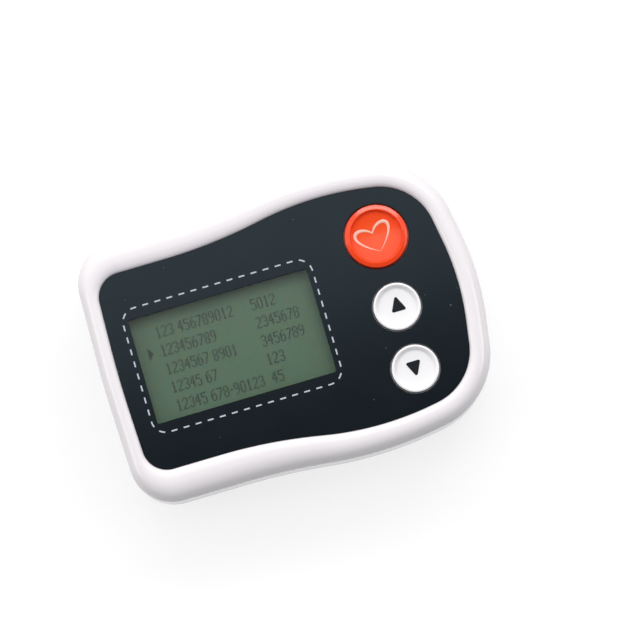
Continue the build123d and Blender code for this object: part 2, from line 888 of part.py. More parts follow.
def buzzer_part():
    """Round buzzer under the board."""
    with BuildPart() as buzzer:
        with BuildSketch(Plane.XY.offset(board_floor - buzzer_height)):
            with Locations(board_place(buzzer_place_share)):
                Circle(buzzer_radius)
        extrude(amount=buzzer_height)
        with BuildSketch(Plane.XY.offset(board_floor - buzzer_height)):
            with Locations(board_place(buzzer_place_share)):
                Circle(buzzer_port_radius)
        extrude(amount=buzzer_port_depth, mode=Mode.SUBTRACT)
    return buzzer.part


os.makedirs("parts", exist_ok=True)

heart_mark = heart_mark_part()
up_mark = arrow_mark_part(up_y, 90)
down_mark = arrow_mark_part(down_y, -90)

finish(front_shell_part(), "front_shell")
finish(rear_shell_part(), "rear_shell")
finish(battery_cover_part(), "battery_cover")
finish(front_panel_part(), "front_panel")
finish(display_window_part(), "display_window")
finish(display_gasket_part(), "display_gasket")
finish(display_glass_part(), "display_glass")
finish(light_guide_part(), "light_guide")
finish(contact_strips_part(), "contact_strips")
finish(display_holder_part(), "display_holder")
finish(main_board_part(), "main_board")
finish(button_cap_part(event_y, event_diameter / 2, heart_mark), "event_button")
finish(button_cap_part(up_y, arrow_diameter / 2, up_mark), "up_button")
finish(button_cap_part(down_y, arrow_diameter / 2, down_mark), "down_button")
finish(heart_mark, "event_heart")
finish(up_mark, "up_arrow")
finish(down_mark, "down_arrow")
finish(switch_dome_part(event_y), "event_dome")
finish(switch_dome_part(up_y), "up_dome")
finish(switch_dome_part(down_y), "down_dome")
finish(battery_tray_part(), "battery_tray")
finish(battery_cell_part(), "battery_cell")
finish(plus_contact_part(), "plus_contact")
finish(minus_contact_part(), "minus_contact")
finish(lead_socket_part(), "lead_socket")
finish(socket_pins_part(), "socket_pins")
finish(screws_part(case_screws, case_head_recess, case_screw_radius, case_screw_head_radius, case_screw_head,
                   parting_height - case_head_recess - case_screw_head + case_screw_bite), "case_screws")
finish(screws_part(tray_screws, tab_top - tab_thickness - case_screw_head, case_screw_radius,
                   case_screw_head_radius, case_screw_head, tab_thickness + case_screw_bite), "tray_screws")
finish(screws_part(board_screws, board_floor - board_screw_head, board_screw_radius, board_screw_head_radius,
                   board_screw_head, board_thickness + board_screw_bite), "board_screws")
finish(chips_part([processor_place_share], processor_size), "processor_chip")
finish(chips_part([signal_place_share], signal_size), "signal_chip")
finish(chips_part(memory_place_shares, memory_size), "memory_chips")
finish(chips_part([crystal_place_share], crystal_size), "clock_crystal")
finish(chips_part([inductor_place_share], inductor_size), "power_inductor")
finish(chips_part(capacitor_place_shares, capacitor_size), "board_capacitors")
finish(buzzer_part(), "buzzer")
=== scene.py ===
import math

import bmesh
import bpy
import numpy as np
from mathutils import Matrix, Vector


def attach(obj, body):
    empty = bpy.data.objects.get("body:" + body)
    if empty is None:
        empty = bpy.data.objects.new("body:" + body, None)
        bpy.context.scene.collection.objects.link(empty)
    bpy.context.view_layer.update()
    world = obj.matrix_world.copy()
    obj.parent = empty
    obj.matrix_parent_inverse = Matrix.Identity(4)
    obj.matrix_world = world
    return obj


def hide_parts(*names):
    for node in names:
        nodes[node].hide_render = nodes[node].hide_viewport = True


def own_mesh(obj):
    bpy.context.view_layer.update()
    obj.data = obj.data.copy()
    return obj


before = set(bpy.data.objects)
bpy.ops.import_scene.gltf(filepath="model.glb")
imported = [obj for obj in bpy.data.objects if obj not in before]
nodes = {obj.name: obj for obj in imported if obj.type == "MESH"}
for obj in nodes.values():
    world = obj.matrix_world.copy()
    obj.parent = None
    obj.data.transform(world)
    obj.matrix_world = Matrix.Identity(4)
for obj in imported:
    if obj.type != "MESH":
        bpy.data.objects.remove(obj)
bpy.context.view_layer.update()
mm = 0.001
print("frame loaded:", len(nodes), "nodes")


# A mesh object from points in millimetres and faces; edges sharper than the crease angle stay crisp
def meshObject(name, points, faces, crease=30.0):
    mesh = bpy.data.meshes.new(name)
    mesh.from_pydata((np.asarray(points, float).reshape(-1, 3) * mm).tolist(), [], [tuple(f) for f in faces])
    shape = bmesh.new()
    shape.from_mesh(mesh)
    bmesh.ops.remove_doubles(shape, verts=shape.verts, dist=1e-7)
    bmesh.ops.recalc_face_normals(shape, faces=shape.faces)
    shape.to_mesh(mesh)
    shape.free()
    thing = bpy.data.objects.new(name, mesh)
    bpy.context.scene.collection.objects.link(thing)
    crisp(thing, crease)
    return thing


def crisp(thing, crease):
    mesh = thing.data
    mesh.polygons.foreach_set("use_smooth", np.ones(len(mesh.polygons), bool))
    mesh.set_sharp_from_angle(angle=math.radians(crease))
    mesh.update()


# Quads between the rings of a stack, and a fan to a pole point at each end where there are poles
def ringFaces(rings, around, poles):
    lower = np.arange(rings - 1)[:, None] * around
    here = np.arange(around)[None, :]
    after = (here + 1) % around
    quads = np.stack([lower + here, lower + after, lower + around + after, lower + around + here], 2)
    faces = quads.reshape(-1, 4).tolist()
    if poles:
        ring = np.arange(around)
        step = (ring + 1) % around
        top = (rings - 1) * around
        faces += np.stack([step, ring, np.full(around, rings * around)], 1).tolist()
        faces += np.stack([top + ring, top + step, np.full(around, rings * around + 1)], 1).tolist()
    return faces


# A stack of rings (rings, around, 3) closed by two pole points
def stacked(name, rings, poles, crease=30.0):
    rings = np.asarray(rings)
    points = np.concatenate([rings.reshape(-1, 3), np.asarray(poles, float)])
    return meshObject(name, points, ringFaces(len(rings), rings.shape[1], True), crease)


# A profile of (radius, height) turned round an upright axis at (x, y)
def turned(name, profile, x, y, sides=160, crease=30.0):
    turn = np.linspace(0, 2 * np.pi, sides, endpoint=False)
    radius, height = np.array(profile, float).T
    rings = np.stack([x + radius[:, None] * np.cos(turn), y + radius[:, None] * np.sin(turn),
                      np.broadcast_to(height[:, None], (len(radius), sides))], 2)
    return stacked(name, rings, [(x, y, height[0]), (x, y, height[-1])], crease)


# A plain upright cylinder between two heights
def post(name, x, y, radius, ends, sides=48):
    return turned(name, [(radius, z) for z in ends], x, y, sides)


# A box between two corners
def block(name, low, high):
    x, y, z = (np.array(pair) for pair in zip(low, high))
    points = np.stack(np.meshgrid(x, y, z, indexing="ij"), -1).reshape(-1, 3)
    faces = [(0, 1, 3, 2), (4, 6, 7, 5), (0, 4, 5, 1), (2, 3, 7, 6), (0, 2, 6, 4), (1, 5, 7, 3)]
    return meshObject(name, points, faces)


# Cut from, joined to or kept of a solid by the cutters, which are used up
def shapeBy(target, cutters, operation, crease=30.0):
    for cutter in cutters:
        step = target.modifiers.new("step", "BOOLEAN")
        step.operation = operation
        step.solver = "EXACT"
        step.object = cutter
    graph = bpy.context.evaluated_depsgraph_get()
    shaped = bpy.data.meshes.new_from_object(target.evaluated_get(graph))
    target.modifiers.clear()
    old = target.data
    target.data = shaped
    bpy.data.meshes.remove(old)
    for cutter in cutters:
        bpy.data.meshes.remove(cutter.data)
    crisp(target, crease)
    return target


def unit(vectors):
    return vectors / np.linalg.norm(vectors, axis=-1, keepdims=True)


# Rounded corners, many at once: a circular arc touching the lines before-corner and corner-after,
# as (steps + 1, count, 2); each arc point is a slerp of the two end radii about the arc's centre
def roundCorner(before, corner, after, radius, steps):
    a, b = unit(corner - before), unit(after - corner)
    turn = np.arccos(np.clip((a * b).sum(-1), -1, 1))[..., None]
    centre = corner + unit(b - a) * radius / np.cos(turn / 2)
    start = corner - a * radius * np.tan(turn / 2)
    end = corner + b * radius * np.tan(turn / 2)
    share = np.linspace(0, 1, steps + 1)[:, None, None]
    swung = np.sin((1 - share) * turn) * (start - centre) + np.sin(share * turn) * (end - centre)
    return centre + swung / np.sin(turn)


# Points and outward normals of an outline that is alike on both sides of the X axis: arcs at the
# corners and straight runs between, with the same count on every outline so that two can be blended
def roundedOutline(middle, halfLong, halfWide, shares, arcSteps=22, runSteps=5):
    upper = np.array([(middle + a * halfLong, b * halfWide) for a, b, c in shares])
    corners = np.vstack([upper, upper[-2:0:-1] * (1, -1)])
    takes = np.array([c for a, b, c in shares])
    takes = np.concatenate([takes, takes[-2:0:-1]])
    into, out = corners - np.roll(corners, 1, 0), np.roll(corners, -1, 0) - corners
    a, b = unit(into), unit(out)
    turn = np.arccos((a * b).sum(1))[:, None]
    reach = takes[:, None] * np.minimum(np.linalg.norm(into, axis=1), np.linalg.norm(out, axis=1))[:, None]
    radius = reach / np.tan(turn / 2)
    arcs = roundCorner(corners - a, corners, corners + b, radius, arcSteps)
    share = np.linspace(0, 1, arcSteps + 1)[:, None, None]
    heading = (np.sin((1 - share) * turn) * a + np.sin(share * turn) * b) / np.sin(turn)
    run = np.linspace(0, 1, runSteps + 1)[1:-1, None, None]
    runs = arcs[-1] * (1 - run) + np.roll(arcs[0], -1, 0) * run
    points = np.concatenate([arcs, runs]).transpose(1, 0, 2).reshape(-1, 2)
    heading = np.concatenate([heading, np.broadcast_to(b, runs.shape)]).transpose(1, 0, 2).reshape(-1, 2)
    return points, np.stack([-heading[:, 1], heading[:, 0]], 1)


def atHeight(flat, z):
    return np.concatenate([flat, np.full((len(flat), 1), float(z))], 1)


# Case: sizes in millimetres, as the CAD has them. The cuts' heights go clear through the wall and the sheet,
# and the keep box is larger than the case
case = {
    "halfLength": 42.5, "halfWidth": 31.1, "wall": 2.0, "parting": 11.0, "seamGroove": 0.25,
    "backRound": 7.0, "crest": 24.2, "shoulderDrop": 3.4, "sideHeights": (14.0, 17.0, 19.0),
    "crestOut": 0.40, "crestIn": 0.33, "ceiling": 21.0, "floor": 22.3, "top": 23.1, "bond": 0.05,
    "seamX": 17.2, "coverGap": 0.15, "wallCut": (20, 23), "sheetCut": (21, 24),
    "keepLow": (-60, -40, -5), "keepHigh": (60, 40, 20),
    "outline": [(-1.0035, 0.000, 0.1732), (-0.9860, 0.942, 0.3125), (-0.2235, 0.942, 0.4245),
                (0.2820, 1.027, 0.5588), (0.9106, 0.894, 0.4706), (1.0165, 0.000, 0.3557)],
}
panel = {
    "middle": -0.45, "halfLength": 38.15, "halfWidth": 25.55, "edge": 0.08,
    "outline": [(-1.0079, 0.000, 0.4077), (-0.9869, 0.867, 0.2350), (-0.2896, 0.867, 0.4389),
                (0.3447, 1.045, 0.5473), (0.9240, 0.900, 0.4002), (1.0210, 0.000, 0.4007)],
}
display = {"x": -13.3, "y": -0.2, "length": 40.5, "width": 23.4, "round": 0.4, "liner": 0.85,
           "glassTop": 20.6}
buttons = {
    "x": 23.5, "gap": 0.35, "rimTop": 23.9, "dishDepth": 0.75,
    "event": (14.0, 6.85), "up": (-2.03, 5.15), "down": (-16.07, 5.15),
}
socket = {"halfWidth": 19.15, "low": 6.45, "high": 15.55, "outside": -50, "inside": -37.5}

# Bosses under the front wall: places, radius and foot, then the screw hole's radius and its two ends
bossTop = 21.5
bosses = {
    "case": {"places": [(-30.0, 22.8), (-30.0, -22.8)],
             "radius": 3.2, "foot": 11.0, "hole": 1.05, "ends": (10, 17.4)},
    "tray": {"places": [(36.2, 11.0), (36.2, -11.0)],
             "radius": 2.6, "foot": 13.4, "hole": 1.05, "ends": (13, 19.8)},
    "board": {"places": [(14.05, 25.7), (14.05, -25.7), (-22.0, 22.8), (-22.0, -22.8)],
              "radius": 2.2, "foot": 18.7, "hole": 0.85, "ends": (18, 20.7)},
}

caseLine, caseOut = roundedOutline(0, case["halfLength"], case["halfWidth"], case["outline"])
panelLine, panelOut = roundedOutline(panel["middle"], panel["halfLength"], panel["halfWidth"],
                                     panel["outline"])


# Front shell: each ring is the case outline moved along the line to the panel's edge by the profile's
# distance, at the profile's height; up the side, over the shoulder and down the lip, each a quarter of
# an ellipse
def frontShell():
    span = np.linalg.norm(panelLine - caseLine, axis=1)
    across = unit(panelLine - caseLine)
    level = np.ones(len(span))

    def spot(along, z):
        return np.stack([along * level, z * level], 1)

    lip = spot(span - case["bond"], case["top"])
    profile = [spot(0, z) for z in (case["parting"] + case["seamGroove"], *case["sideHeights"])]
    for a in np.linspace(0, np.pi / 2, 25):
        profile.append(spot(span * (1 - case["crestOut"]) * (1 - math.cos(a)),
                            case["crest"] - case["shoulderDrop"] * (1 - math.sin(a))))
    for a in np.linspace(0, np.pi / 2, 13)[:-1]:
        profile.append(spot(span - case["bond"] - (span * case["crestIn"] - case["bond"]) * (1 - math.sin(a)),
                            case["top"] + (case["crest"] - case["top"]) * math.cos(a)))
    profile += [lip, spot(span - case["bond"], case["floor"])]
    outer = [np.concatenate([caseLine + across * p[:, :1], p[:, 1:]], 1) for p in profile]
    inner = caseLine - caseOut * case["wall"]
    rings = [atHeight(inner, case["ceiling"]), atHeight(inner, case["parting"]),
             atHeight(caseLine - caseOut * case["seamGroove"], case["parting"])] + outer
    shell = stacked("frontShell", rings, [(0, 0, case["ceiling"]), (0, 0, case["floor"])])

    shapeBy(shell, [post("boss", x, y, boss["radius"], (boss["foot"], bossTop))
                    for boss in bosses.values() for x, y in boss["places"]], "UNION")
    halfLong = display["length"] / 2 + display["liner"]
    halfWide = display["width"] / 2 + display["liner"]
    under, over = case["wallCut"]
    cuts = [block("cut", (display["x"] - halfLong, display["y"] - halfWide, under),
                  (display["x"] + halfLong, display["y"] + halfWide, over))]
    for label in ("event", "up", "down"):
        y, radius = buttons[label]
        cuts.append(post("cut", buttons["x"], y, radius + buttons["gap"], case["wallCut"], 160))
    cuts.append(block("cut", (socket["outside"], -socket["halfWidth"], 0),
                      (socket["inside"], socket["halfWidth"], socket["high"])))
    cuts += [post("cut", x, y, boss["hole"], boss["ends"], 32)
             for boss in bosses.values() for x, y in boss["places"]]
    return shapeBy(shell, cuts, "DIFFERENCE")


# Back half of the case as one closed wall: the outline drawn in by the radius less its cosine while
# the height drops by its sine, outside with the full radius and inside with the radius less the wall
def backShell(name, top):
    turn = np.linspace(0, np.pi / 2, 15)
    full, inside = case["backRound"], case["backRound"] - case["wall"]
    outer = [atHeight(caseLine - caseOut * full * (1 - np.cos(a)), full * (1 - np.sin(a))) for a in turn]
    inner = [atHeight(caseLine - caseOut * (full - inside * np.cos(a)), full - inside * np.sin(a))
             for a in turn]
    rim = [atHeight(caseLine, top - case["seamGroove"]),
           atHeight(caseLine - caseOut * case["seamGroove"], top),
           atHeight(caseLine - caseOut * case["wall"], top)]
    return stacked(name, outer[::-1] + rim + inner, [(0, 0, 0), (0, 0, case["wall"])])


# Rear shell: screw posts with a hole for the head from below and one for the shank, and slots for the
# cover's tongues, each cut with its two heights
rear = {"postRadius": 3.2, "postFoot": 1.0, "headHole": 2.3, "headCut": (-1, 5.9), "shankHole": 1.05,
        "shankCut": (5, 12), "tongueCut": (1.1, 6), "tongueReach": 3.6, "tongueY": 15.0, "tongueHalf": 4.5,
        "play": 0.1, "past": 1.0}


def rearShell():
    shell = backShell("rearShell", case["parting"])
    _, wide, over = case["keepHigh"]
    shapeBy(shell, [block("keep", case["keepLow"], (case["seamX"], wide, over))], "INTERSECT")
    places = bosses["case"]["places"]
    shapeBy(shell, [post("post", x, y, rear["postRadius"], (rear["postFoot"], case["parting"]))
                    for x, y in places], "UNION")
    cuts = [block("cut", (socket["outside"], -socket["halfWidth"], socket["low"]),
                  (socket["inside"], socket["halfWidth"], over))]
    for x, y in places:
        cuts.append(post("cut", x, y, rear["headHole"], rear["headCut"]))
        cuts.append(post("cut", x, y, rear["shankHole"], rear["shankCut"], 32))
    low, high = rear["tongueCut"]
    half = rear["tongueHalf"] + rear["play"]
    for y in (rear["tongueY"], -rear["tongueY"]):
        cuts.append(block("cut", (case["seamX"] - rear["tongueReach"], y - half, low),
                          (case["seamX"] + rear["past"], y + half, high)))
    return shapeBy(shell, cuts, "DIFFERENCE")


# Battery cover: two tongues and a hook, and a row of thumb grooves, whose wall slopes through three
# rings, each with its share of the groove's half width and its height
cover = {"tongueFloor": 1.2, "tongueTop": 2.0, "hookLow": (35.05, -7.0, 9.35), "hookHigh": (41.5, 7.0, 10.75),
         "grooves": 5, "pitch": 1.6, "grooveHalf": 0.35, "grooveReach": 8.0, "grooveX": 31.5,
         "grooveWall": ((1.35, -0.2), (1.15, 0.0), (0.55, 0.4))}


# A slot with round ends across the back: a circle pulled apart along Y at each height
def grooveCutter(x):
    turn = np.linspace(0, 2 * np.pi, 32, endpoint=False)
    pulled = np.sign(np.sin(turn) + 1e-9) * (cover["grooveReach"] - cover["grooveHalf"])
    rings = []
    for share, z in cover["grooveWall"]:
        half = cover["grooveHalf"] * share
        rings.append(atHeight(np.stack([x + half * np.cos(turn), pulled + half * np.sin(turn)], 1), z))
    return stacked("cut", rings, [(x, 0, cover["grooveWall"][0][1]), (x, 0, cover["grooveWall"][-1][1])])


def batteryCover():
    shell = backShell("batteryCover", case["parting"] - case["coverGap"])
    edge = case["seamX"] + case["coverGap"]
    shapeBy(shell, [block("keep", (edge, *case["keepLow"][1:]), case["keepHigh"])], "INTERSECT")
    joins = [block("hook", cover["hookLow"], cover["hookHigh"])]
    for y in (rear["tongueY"], -rear["tongueY"]):
        joins.append(block("tongue",
                           (edge - rear["tongueReach"], y - rear["tongueHalf"], cover["tongueFloor"]),
                           (edge + rear["tongueReach"], y + rear["tongueHalf"], cover["tongueTop"])))
    shapeBy(shell, joins, "UNION")
    offsets = (np.arange(cover["grooves"]) - (cover["grooves"] - 1) / 2) * cover["pitch"]
    return shapeBy(shell, [grooveCutter(cover["grooveX"] + step) for step in offsets], "DIFFERENCE")


# Black sheet in the recess, its upper edge and the edges of its openings eased
def frontPanel():
    edge = panel["edge"]
    under, over = case["sheetCut"]
    rings = [atHeight(panelLine, case["floor"]), atHeight(panelLine, case["top"] - edge)]
    rings += [atHeight(panelLine - panelOut * edge * (1 - np.cos(a)), case["top"] - edge * (1 - np.sin(a)))
              for a in np.linspace(0, np.pi / 2, 4)[1:]]
    sheet = stacked("frontPanel", rings, [(0, 0, case["floor"]), (0, 0, case["top"])])
    cuts = []
    for label in ("event", "up", "down"):
        y, radius = buttons[label]
        hole = radius + buttons["gap"]
        cuts.append(turned("cut", [(hole, under), (hole, case["top"] - edge), (hole + edge, case["top"]),
                                   (hole + edge, over)], buttons["x"], y))
    cuts.append(displayCutter(edge))
    return shapeBy(sheet, cuts, "DIFFERENCE")


# A rounded rectangle's points, counter-clockwise
def roundedBox(x, y, halfLong, halfWide, radius, steps=8):
    turn = np.linspace(0, np.pi / 2, steps + 1)
    corners = [(1, 1), (-1, 1), (-1, -1), (1, -1)]
    parts = []
    for i, (sx, sy) in enumerate(corners):
        centre = np.array([x + sx * (halfLong - radius), y + sy * (halfWide - radius)])
        swept = turn + i * np.pi / 2
        parts.append(centre + radius * np.stack([np.cos(swept), np.sin(swept)], 1))
    return np.concatenate(parts)


def displayCutter(edge):
    under, over = case["sheetCut"]
    rings = []
    for grow, z in ((0, under), (0, case["top"] - edge), (edge, case["top"]), (edge, over)):
        rings.append(atHeight(roundedBox(display["x"], display["y"], display["length"] / 2 + grow,
                                         display["width"] / 2 + grow, display["round"] + grow), z))
    return stacked("cut", rings, [(display["x"], display["y"], under), (display["x"], display["y"], over)])


# Under the panel each cap has a nub and a flange: the nub's radius and foot, how far the flange reaches out
# and its two heights, where the straight side ends, and the radius of the dish's innermost ring
capStem = {"nub": 1.2, "foot": 19.45, "flange": 1.15, "flangeLow": 20.2, "flangeTop": 20.9, "sideTop": 22.5,
           "inmost": 0.3}

# Button caps: how far in the crown of the rim stands, how far the rim falls outside it and as what power
# of the distance, how wide the side of the dish is, how much deeper the dish is in its middle, the outer edge
capForms = {
    "event": {"crown": 1.0, "fall": 0.29, "power": 1.2, "side": 0.5, "hollow": 0.34, "edge": 0.12},
    "up": {"crown": 0.32, "fall": 0.10, "power": 2.0, "side": 1.0, "hollow": 0.06, "edge": 0.08},
    "down": {"crown": 0.32, "fall": 0.10, "power": 2.0, "side": 1.0, "hollow": 0.06, "edge": 0.08},
}


# Height of the dish floor at a distance from the middle: a shallow bowl of a parabola
def dishFloor(label, reach):
    form = capForms[label]
    brim = buttons[label][1] - form["crown"] - form["side"]
    return buttons["rimTop"] - buttons["dishDepth"] - form["hollow"] * np.clip(1 - (reach / brim) ** 2, 0, 1)


# Nub, flange and stem, an eased edge, a rim that rises as a power of the distance to its crown, and a
# dish whose side falls in a half cosine to the bowl
def buttonCap(name, label):
    y, radius = buttons[label]
    form = capForms[label]
    top, floor = buttons["rimTop"], buttons["rimTop"] - buttons["dishDepth"]
    low, edge = top - form["fall"], form["edge"]
    nub, out = capStem["nub"], radius + capStem["flange"]
    under, over = capStem["flangeLow"], capStem["flangeTop"]
    profile = [(nub, capStem["foot"]), (nub, under), (out, under), (out, over), (radius, over),
               (radius, capStem["sideTop"])]
    turn = np.linspace(0, np.pi / 2, 5)
    profile += [(radius - edge * (1 - math.cos(a)), low - edge * (1 - math.sin(a))) for a in turn]
    share = np.linspace(0, 1, 9)[1:]
    start, crown = radius - edge, radius - form["crown"]
    profile += [(start + (crown - start) * s, top - form["fall"] * (1 - s) ** form["power"]) for s in share]
    share = np.linspace(0, 1, 13)[1:]
    profile += [(crown - form["side"] * s, floor + (top - floor) * (1 + math.cos(math.pi * s)) / 2)
                for s in share]
    inward = np.linspace(crown - form["side"], capStem["inmost"], 9)[1:]
    profile += list(zip(inward, dishFloor(label, inward)))
    return turned(name, profile, buttons["x"], y, crease=40.0)


# Switch domes on the board, drawn at rest; the table also gives the top of a dome flattened under a pressed
# button
dome = {"foot": 18.7, "top": 19.4, "pressedTop": 18.9, "radius": 2.5, "crown": 1.1, "thick": 0.15,
        "inmost": 0.2}


# A thin closed shell: level to the crown, then a half cosine down to the foot, the inside a thickness below
def switchDome(name, label):
    reach = np.linspace(dome["inmost"], dome["radius"], 15)
    share = np.clip((reach - dome["crown"]) / (dome["radius"] - dome["crown"]), 0, 1)
    low = dome["foot"] + dome["thick"]
    height = low + (dome["top"] - low) * (1 + np.cos(np.pi * share)) / 2
    profile = list(zip(reach, height - dome["thick"])) + list(zip(reach[::-1], height[::-1]))
    return turned(name, profile, buttons["x"], buttons[label][0], 64)


# Heart mark: each half is one cubic curve from the notch to the tip, drawn as a low ridge whose stroke
# swells at the lobe and thins out towards the tip
heart = {"curve": [(0.0, 0.95), (2.1, 4.1), (7.6, 2.3), (0.0, -3.35)], "middle": (-0.45, -0.05), "lean": 9.0,
         "base": 22.6, "ridge": 0.09, "stroke": 0.36, "swell": (0.13, 0.97), "steps": 80,
         "across": (-1.0, -0.8, -0.4, 0.0, 0.4, 0.8, 1.0)}


def heartMark():
    steps = heart["steps"]
    t = np.linspace(0, 1, steps + 1)[:, None]
    a, b, c, d = np.array(heart["curve"])
    half = a * (1 - t) ** 3 + 3 * b * t * (1 - t) ** 2 + 3 * c * t ** 2 * (1 - t) + d * t ** 3
    line = np.vstack([half, half[-2:0:-1] * (-1, 1)])
    swell = np.sin(np.pi * np.linspace(*heart["swell"], steps + 1))
    stroke = heart["stroke"] * np.concatenate([swell, swell[-2:0:-1]])
    lean = math.radians(heart["lean"])
    turn = np.array([[math.cos(lean), math.sin(lean)], [-math.sin(lean), math.cos(lean)]])
    line = heart["middle"] + line @ turn
    heading = unit(np.roll(line, -1, 0) - np.roll(line, 1, 0))
    side = np.stack([-heading[:, 1], heading[:, 0]], 1)
    rings = [atHeight(line - side * stroke[:, None], heart["base"])]
    for share in heart["across"]:
        flat = line + side * stroke[:, None] * share
        height = dishFloor("event", np.linalg.norm(flat, axis=1)) + heart["ridge"] * math.sqrt(1 - share ** 2)
        rings.append(np.concatenate([flat, height[:, None]], 1))
    rings += [atHeight(line + side * stroke[:, None], heart["base"]), rings[0]]
    points = np.array(rings) + (buttons["x"], buttons["event"][0], 0)
    return meshObject("heartMark", points, ringFaces(len(rings), len(line), False), 50.0)


# Arrow marks: corners in half widths, how much the top is drawn in, and how far each is off its cap's middle
arrow = {"corners": [(-1.0, -0.76), (0.0, 1.30), (1.0, -0.76)], "half": 1.74, "round": 0.34, "base": 22.95,
         "proud": 0.03, "ease": 0.98, "up": (0.20, 0.27), "down": (-0.13, 0.36)}


# A triangle with rounded corners and a slightly eased top, pointing to +Y or -Y
def arrowMark(name, label, way):
    corners = np.array(arrow["corners"]) * arrow["half"] * (1, way)
    before, after = np.roll(corners, 1, 0), np.roll(corners, -1, 0)
    line = roundCorner(before, corners, after, arrow["round"], 8).transpose(1, 0, 2).reshape(-1, 2)
    line += np.array([buttons["x"], buttons[label][0]]) + arrow[label]
    middle = line.mean(0)
    floor = buttons["rimTop"] - buttons["dishDepth"]
    top = floor + arrow["proud"]
    eased = middle + (line - middle) * arrow["ease"]
    rings = [atHeight(line, arrow["base"]), atHeight(line, floor), atHeight(eased, top)]
    return stacked(name, rings, [(*middle, arrow["base"]), (*middle, top)])


# Printed dashes: each a short strip that follows a rounded rectangle round the display
dashes = {"left": -34.7, "right": 8.1, "low": -14.2, "high": 13.9, "round": 3.2, "half": 0.155, "length": 1.3,
          "pitch": 2.72, "thick": 0.015, "steps": 6, "ahead": 0.02}


def borderDashes():
    left, right, low, high = (dashes[side] for side in ("left", "right", "low", "high"))
    line = roundedBox((left + right) / 2, (low + high) / 2, (right - left) / 2, (high - low) / 2,
                      dashes["round"], 24)
    loop = np.vstack([line, line[:1]])
    run = np.concatenate([[0], np.cumsum(np.linalg.norm(np.diff(loop, axis=0), axis=1))])
    count = round(run[-1] / dashes["pitch"])
    starts = np.arange(count) * run[-1] / count
    along = starts[:, None] + np.linspace(0, dashes["length"], dashes["steps"] + 1)
    ahead = (along + dashes["ahead"]) % run[-1]
    along = along % run[-1]
    spot = np.stack([np.interp(along, run, loop[:, i]) for i in (0, 1)], -1)
    head = unit(np.stack([np.interp(ahead, run, loop[:, i]) for i in (0, 1)], -1) - spot)
    side = np.stack([-head[..., 1], head[..., 0]], -1) * dashes["half"]
    low, high = case["top"] - dashes["thick"], case["top"] + dashes["thick"]
    corners = [(spot - side, low), (spot + side, low), (spot + side, high), (spot - side, high)]
    points = np.stack([np.dstack([flat, np.full(flat.shape[:2], z)]) for flat, z in corners], 2)
    rows = dashes["steps"] + 1
    last = rows * 4
    strip = ringFaces(rows, 4, False) + [(0, 3, 2, 1), (last - 4, last - 3, last - 2, last - 1)]
    quads = np.arange(count)[:, None, None] * last + np.array(strip)
    return meshObject("borderDashes", points, quads.reshape(-1, 4).tolist())


# Display figures: plain numbers in dots of a lattice, five rows in two columns, and a pointer
figures = {
    "across": 0.217, "down": 0.285, "cover": 0.97, "thick": 0.012,
    "leftX": -28.46, "rightX": -6.84, "top": 8.6, "rowStep": 4.14, "pointer": (-31.3, 1),
    "rows": [("123 456789012", "5012"), ("123456789", "2345678"), ("1234567 8901", "3456789"),
             ("12345 67", "123"), ("12345 678-90123", "45")],
}
digitDots = {
    "0": "01110 10001 10001 10001 10001 10001 10001 10001 01110",
    "1": "00100 01100 00100 00100 00100 00100 00100 00100 01110",
    "2": "01110 10001 00001 00001 00010 00100 01000 10000 11111",
    "3": "01110 10001 00001 00001 00110 00001 00001 10001 01110",
    "4": "00010 00110 01010 01010 10010 11111 00010 00010 00010",
    "5": "11111 10000 10000 11110 00001 00001 00001 10001 01110",
    "6": "00110 01000 10000 10110 11001 10001 10001 10001 01110",
    "7": "11111 00001 00001 00010 00010 00100 00100 01000 01000",
    "8": "01110 10001 10001 10001 01110 10001 10001 10001 01110",
    "9": "01110 10001 10001 10001 01111 00001 00001 00010 01100",
    "-": "000 000 000 000 111 000 000 000 000",
    " ": "00 00 00 00 00 00 00 00 00",
    ">": "100000 110000 111000 111100 111110 111100 111000 110000 100000",
}


# Half columns and rows of the lit dots of a line of figures, from its left end: a dot takes three half
# columns, so that upright strokes are as heavy as level ones, and a figure is followed by three of gap
def litDots(words):
    spots, start = set(), 0
    for letter in words:
        rows = digitDots[letter].split()
        for row, dots in enumerate(rows):
            for column, dot in enumerate(dots):
                if dot == "1":
                    spots.update((start + 2 * column + half, row) for half in range(3))
        start += 2 * len(rows[0]) + 3
    return np.array(sorted(spots), float)


def displayFigures():
    spacing = np.array([figures["across"] / 2, -figures["down"]])
    pointerX, pointerRow = figures["pointer"]
    places = [(">", pointerX, pointerRow)]
    for row, (left, right) in enumerate(figures["rows"]):
        places += [(left, figures["leftX"], row), (right, figures["rightX"], row)]
    centres = np.concatenate([litDots(words) * spacing + (x, figures["top"] - row * figures["rowStep"])
                              for words, x, row in places])
    square = np.array([(-1, -1), (1, -1), (1, 1), (-1, 1)]) * spacing / 2 * figures["cover"] * (1, -1)
    flat = centres[:, None, :] + square[None]
    low, high = display["glassTop"] - figures["thick"], display["glassTop"] + figures["thick"]
    points = np.concatenate([np.dstack([flat, np.full(flat.shape[:2], z)]) for z in (low, high)], 1)
    base = np.arange(len(centres))[:, None] * 8
    sides = [(0, 1, 5, 4), (1, 2, 6, 5), (2, 3, 7, 6), (3, 0, 4, 7), (4, 5, 6, 7), (3, 2, 1, 0)]
    quads = np.concatenate([base + np.array(side) for side in sides]).tolist()
    return meshObject("displayFigures", points, quads)


